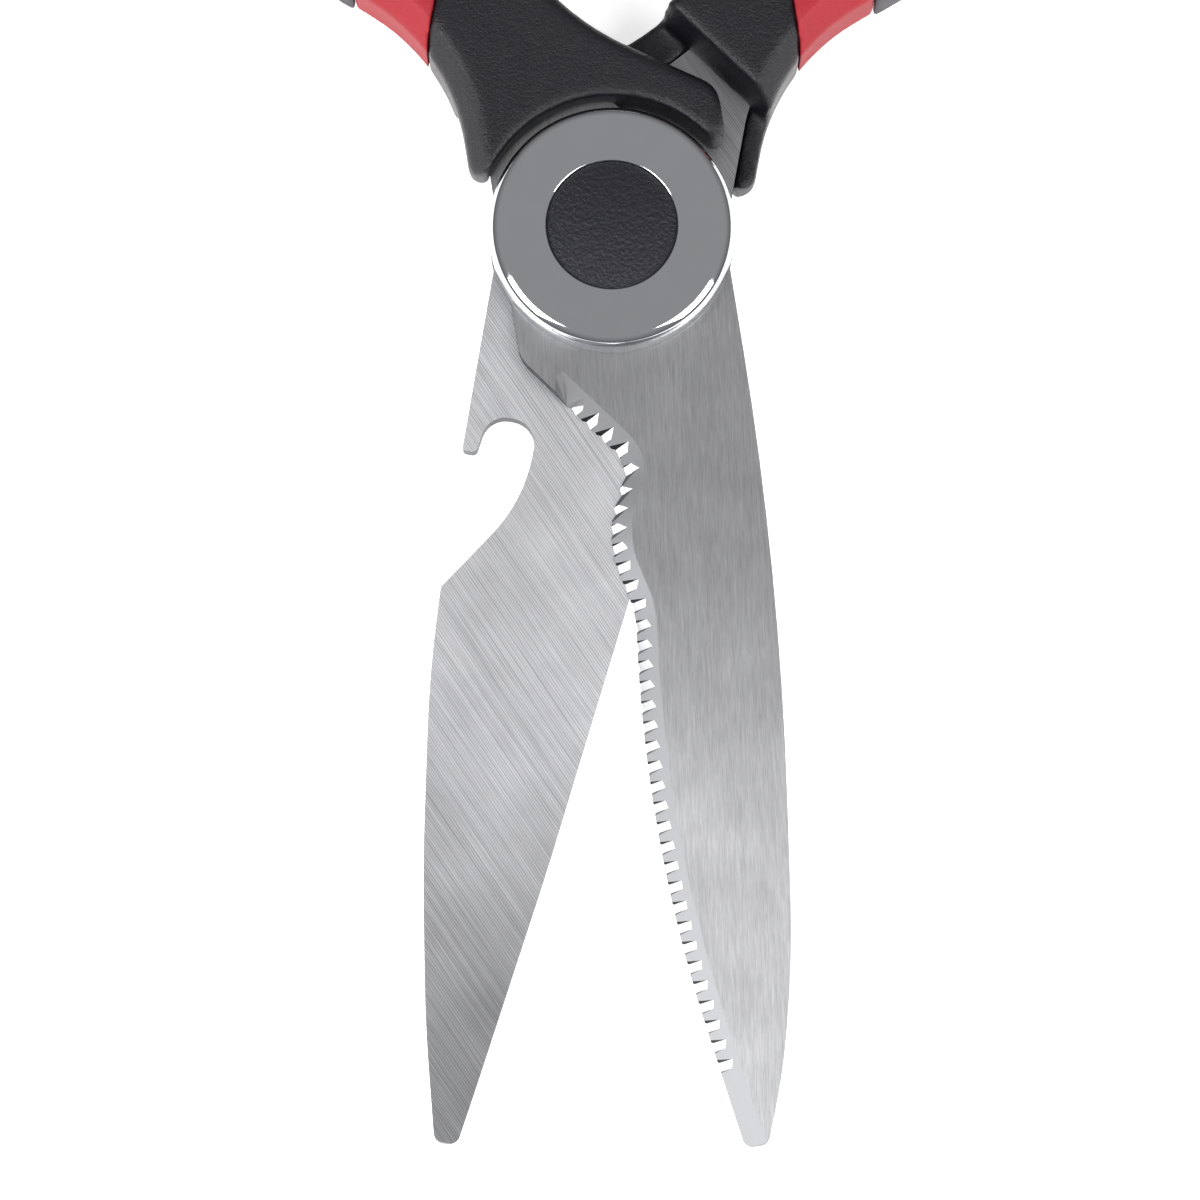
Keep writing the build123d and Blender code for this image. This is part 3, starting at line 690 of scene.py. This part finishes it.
def turned_piece(name, node_name, finish, corners):
    """A turned piece from (radius, height, rounding) corners, which stands for a node."""
    mesh = bpy.data.meshes.new(name)
    points = [(radius - path_radius, -height, 0.0) for radius, height, _ in corners]
    edges = [(i, (i + 1) % len(points)) for i in range(len(points))]
    mesh.from_pydata(points, edges, [])
    rounding = mesh.attributes.new("rounding", "FLOAT", "POINT")
    for place, corner in zip(rounding.data, corners):
        place.value = corner[2]
    piece = bpy.data.objects.new(name, mesh)
    bpy.context.scene.collection.objects.link(piece)
    applied(piece, lathe, {
        "Path Radius": path_radius, "Turn Steps": turn_steps, "Round Steps": round_steps, "Finish": finish})
    piece.data.set_sharp_from_angle(angle=radians(35))
    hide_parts(node_name)
    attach(piece, frame["nodes"][node_name]["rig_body"])
    low = min(vertex.co.z for vertex in piece.data.vertices)
    high = max(vertex.co.z for vertex in piece.data.vertices)
    print(name, "z", round(low / mm, 3), round(high / mm, 3), len(piece.data.polygons), "faces")
    return piece


bezel_low, bezel_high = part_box("chrome_bezel")
bezel_radius = bezel_high[0]
bezel_foot, bezel_top = bezel_low[2], bezel_high[2]
plate_wall = 1.2 * mm
insert_radius = 7.75 * mm
hole_radius = insert_radius + 0.05 * mm
turned_piece("bezel_ring", "chrome_bezel", chrome, [
    (bezel_radius, bezel_foot, 0.12 * mm),
    (bezel_radius, bezel_top, 1.6 * mm),
    (hole_radius, bezel_top, 0.2 * mm),
    (hole_radius, bezel_top - plate_wall, 0.0),
    (bezel_radius - plate_wall, bezel_top - plate_wall, 0.5 * mm),
    (bezel_radius - plate_wall, bezel_foot, 0.0),
])
cap_low, cap_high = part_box("rear_cap")
cap_floor = 0.9 * mm
turned_piece("cap_plate", "rear_cap", chrome, [
    (0.0, cap_low[2], 0.0),
    (cap_high[0], cap_low[2], 0.6 * mm),
    (cap_high[0], cap_high[2], 0.1 * mm),
    (cap_high[0] - plate_wall, cap_high[2], 0.0),
    (cap_high[0] - plate_wall, cap_floor, 0.3 * mm),
    (0.0, cap_floor, 0.0),
])

# %% [markdown]
# ## Grained insert
# The disc in the ring has a leather-like grain that is deep enough to break up the light at its
# edge, so it is real relief and not only shading. A grid is bent into a disc, its points are
# lifted by a cell pattern and a noise, and the grain fades at the rim. The disc is then extruded
# down and closed, and the hidden flange is added under it.

# %% Grained insert tree
leather, leather_in, leather_out = new_group(
    "Grained disc",
    "GeometryNodeTree",
    [("Radius", "Float", 7.75 * mm), ("Top", "Float", 14 * mm), ("Depth", "Float", 1.1 * mm),
     ("Dome", "Float", 0.15 * mm), ("Grain Size", "Float", 0.5 * mm), ("Grain Depth", "Float", 0.04 * mm),
     ("Flange Radius", "Float", 9.2 * mm), ("Flange Height", "Float", 0.8 * mm), ("Seed", "Float", 4.0),
     ("Finish", "Material", None)],
    [("Geometry", "Geometry")],
)
grid_points = 181
grain_fade_start = 0.90
grid = node(leather, "GeometryNodeMeshGrid", inputs={
    "Size X": 2.0, "Size Y": 2.0, "Vertices X": grid_points, "Vertices Y": grid_points}).outputs["Mesh"]
square = node(leather, "ShaderNodeSeparateXYZ", inputs={
    0: node(leather, "GeometryNodeInputPosition").outputs[0]})


def squeezed(near, far):
    """One coordinate of a square, drawn in so that the square becomes a disc."""
    half = math_node(leather, "MULTIPLY", math_node(leather, "MULTIPLY", far, far), 0.5)
    shrink = math_node(leather, "SQRT", math_node(leather, "SUBTRACT", 1.0, half))
    return math_node(leather, "MULTIPLY", near, shrink)


disc_x = squeezed(square.outputs["X"], square.outputs["Y"])
disc_y = squeezed(square.outputs["Y"], square.outputs["X"])
reach = math_node(leather, "ADD", math_node(leather, "MULTIPLY", disc_x, disc_x), math_node(
    leather, "MULTIPLY", disc_y, disc_y))
dome = math_node(leather, "MULTIPLY", math_node(leather, "SUBTRACT", 1.0, reach), leather_in["Dome"])
flat_place = node(leather, "ShaderNodeCombineXYZ", inputs={
    0: math_node(leather, "MULTIPLY", disc_x, leather_in["Radius"]),
    1: math_node(leather, "MULTIPLY", disc_y, leather_in["Radius"]),
    2: math_node(leather, "MULTIPLY", leather_in["Seed"], 0.01)}).outputs[0]
cell_scale = math_node(leather, "DIVIDE", 1.0, leather_in["Grain Size"])
cells = node(leather, "ShaderNodeTexVoronoi", feature="SMOOTH_F1", inputs={
    "Vector": flat_place, "Scale": cell_scale}).outputs["Distance"]
folds = node(leather, "ShaderNodeTexNoise", inputs={
    "Vector": flat_place, "Scale": math_node(leather, "MULTIPLY", cell_scale, 0.7), "Detail": 3.0}).outputs[0]
relief = math_node(leather, "ADD", math_node(leather, "MULTIPLY", cells, -1.0), folds)
fade = node(leather, "ShaderNodeMapRange", inputs={
    "Value": reach, "From Min": 1.0, "From Max": grain_fade_start}).outputs[0]
lift = math_node(leather, "MULTIPLY", math_node(leather, "MULTIPLY", relief, fade), leather_in["Grain Depth"])
height = math_node(leather, "ADD", leather_in["Top"], math_node(leather, "ADD", dome, lift))
disc_place = node(leather, "ShaderNodeCombineXYZ", inputs={
    0: math_node(leather, "MULTIPLY", disc_x, leather_in["Radius"]),
    1: math_node(leather, "MULTIPLY", disc_y, leather_in["Radius"]), 2: height}).outputs[0]
disc = node(leather, "GeometryNodeSetPosition", inputs={"Geometry": grid, "Position": disc_place}).outputs[0]
down = node(leather, "ShaderNodeCombineXYZ", inputs={
    2: math_node(leather, "MULTIPLY", leather_in["Depth"], -1.0)})
sides = node(leather, "GeometryNodeExtrudeMesh", inputs={
    "Mesh": disc, "Offset": down.outputs[0], "Offset Scale": 1.0, "Individual": False}).outputs["Mesh"]
flange = node(leather, "GeometryNodeMeshCylinder", inputs={
    "Vertices": 128, "Radius": leather_in["Flange Radius"],
    "Depth": leather_in["Flange Height"]}).outputs["Mesh"]
flange_middle = math_node(leather, "SUBTRACT", math_node(
    leather, "SUBTRACT", leather_in["Top"], leather_in["Depth"]), math_node(
    leather, "MULTIPLY", leather_in["Flange Height"], 0.5))
flange_place = node(leather, "ShaderNodeCombineXYZ", inputs={2: flange_middle}).outputs[0]
set_flange = node(leather, "GeometryNodeTransform", inputs={
    "Geometry": flange, "Translation": flange_place}).outputs[0]
together = node(leather, "GeometryNodeJoinGeometry")
for part in (set_flange, sides, disc):
    leather.links.new(part, together.inputs[0])
welded = node(leather, "GeometryNodeMergeByDistance", inputs={
    "Geometry": together.outputs[0], "Distance": weld_distance}).outputs[0]
grained = node(leather, "GeometryNodeRealizeInstances", inputs={"Geometry": welded}).outputs[0]
skinned = node(leather, "GeometryNodeSetMaterial", inputs={
    "Geometry": grained, "Material": leather_in["Finish"]})
leather.links.new(skinned.outputs[0], leather_out["Geometry"])

# %% Grained insert
insert_low, insert_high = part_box("centre_insert")
insert_dome = 0.45 * mm
insert_top = bezel_top - insert_dome - 0.06 * mm
insert_roof = bezel_top - plate_wall
insert_piece = bpy.data.objects.new("insert_disc", bpy.data.meshes.new("insert_disc"))
bpy.context.scene.collection.objects.link(insert_piece)
applied(insert_piece, leather, {
    "Radius": insert_radius, "Top": insert_top, "Depth": insert_top - insert_roof, "Dome": insert_dome,
    "Grain Size": 0.32 * mm, "Grain Depth": 0.08 * mm, "Flange Radius": insert_high[0],
    "Flange Height": insert_roof - insert_low[2], "Seed": 4.0, "Finish": insert_plastic})
insert_piece.data.set_sharp_from_angle(angle=radians(50))
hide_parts("centre_insert")
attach(insert_piece, "front_half")
print("insert", len(insert_piece.data.polygons), "faces")

# %% [markdown]
# ## Hidden pivot pieces
# The bolt, its carriers, the bush, the washer, the spring and the nut keep the frame's own shapes.
# Only their finish changes.

# %% Finishes of the hidden pieces
hidden_finishes = {
    "pivot_bolt": zinc, "pivot_nut": zinc, "thrust_washer": zinc, "disc_spring": spring_steel,
    "pivot_bush": bronze, "front_carrier": nylon, "rear_carrier": nylon,
}
for name, finish in hidden_finishes.items():
    for slot in frame["nodes"][name].material_slots:
        slot.material = finish
print("refinished:", sorted(hidden_finishes))

# %% [markdown]
# ## Table
# The shears lie on their rear cap and grips, so the table is the plane at zero height. It is a
# pale translucent sheet, lit a little from below as product tables are, which keeps the shadows
# faint. A very fine grain keeps it from looking like a void.

# %% Table
table_reach = 3.0
table_mesh = bpy.data.meshes.new("table")
table_mesh.from_pydata(
    [(-table_reach, -table_reach, 0), (table_reach, -table_reach, 0), (table_reach, table_reach, 0),
     (-table_reach, table_reach, 0)], [], [(0, 1, 2, 3)])
table = bpy.data.objects.new("table", table_mesh)
bpy.context.scene.collection.objects.link(table)
paper, paper_tree, paper_shader, paper_place = new_finish(
    "pale table", Roughness=0.75, Specular_IOR_Level=0.2, Emission_Strength=0.65)
paper_tone = place_group(paper_tree, grain, Vector=paper_place, Grain_Size=1.5 * mm, Contrast=0.02)["Tone"]
paper_tree.links.new(tinted(paper_tree, (0.80, 0.80, 0.80), paper_tone), paper_shader.inputs["Base Color"])
paper_tree.links.new(tinted(paper_tree, (1.0, 1.0, 1.0), paper_tone), paper_shader.inputs["Emission Color"])
table_mesh.materials.append(paper)
